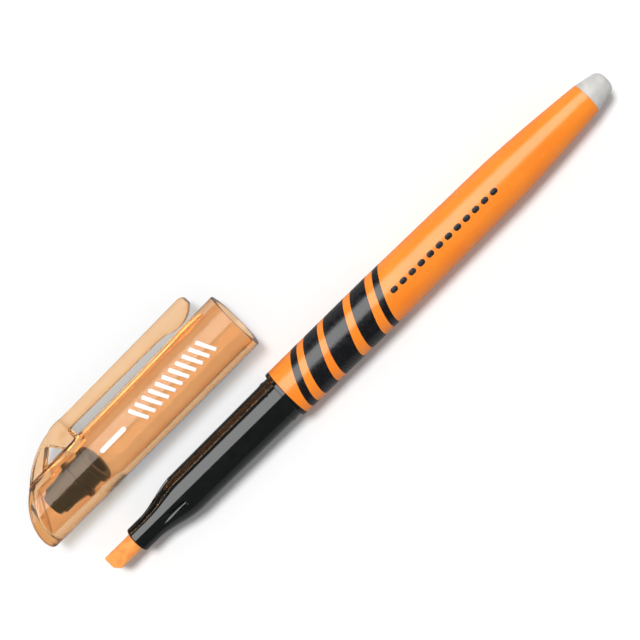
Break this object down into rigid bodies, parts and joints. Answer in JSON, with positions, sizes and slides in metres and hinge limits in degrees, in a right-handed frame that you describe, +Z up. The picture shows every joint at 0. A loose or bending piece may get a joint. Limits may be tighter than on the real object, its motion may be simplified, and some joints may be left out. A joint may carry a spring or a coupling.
{
  "type": "capped highlighter pen",
  "caption": "Chisel-nib highlighter with a rubbing eraser at its rear and its clip cap off, lying beside it; the cap slides along the pen and its clip flexes.",
  "frame": {"origin": "middle of the whole object's footprint on the surface it lies on", "axes": "+X along the pen from nib to eraser, +Y from the pen towards the cap, +Z up"},
  "size_m": [0.1367, 0.0324, 0.0126],
  "materials": {
    "barrel_plastic": "opaque orange moulded plastic with a soft gloss and plain black printed bands",
    "grip_plastic": "polished black",
    "nib_fibre": "bonded fibre wetted with orange ink",
    "reservoir_fibre": "bonded fibre bundle soaked with orange ink",
    "film": "thin clear film",
    "eraser_rubber": "frosted translucent grey elastomer",
    "cap_plastic": "clear orange tint, polished",
    "inner_cap_plastic": "dark olive moulded plastic"
  },
  "bodies": {
    "pen": {"barrel": "barrel_plastic", "front_section": "grip_plastic", "nib": "nib_fibre", "ink_reservoir": "reservoir_fibre", "reservoir_film": "film", "eraser": "eraser_rubber"},
    "cap": {"cap_shell": "cap_plastic", "inner_cap": "inner_cap_plastic"},
    "clip": {"clip": "cap_plastic"}
  },
  "joints": [
    {"name": "cap_pull", "type": "slide", "parent": "pen", "child": "cap", "axis": [-1, 0, 0], "range_m": [0, 0.05]},
    {"name": "clip_flex", "type": "hinge", "parent": "cap", "child": "clip", "pos_m": [-0.0503, 0.01452, 0.00609], "axis": [-0.0056, -0.0001, 1], "range_deg": [0, 4.5], "stiffness_Nm_per_rad": 2}
  ]
}
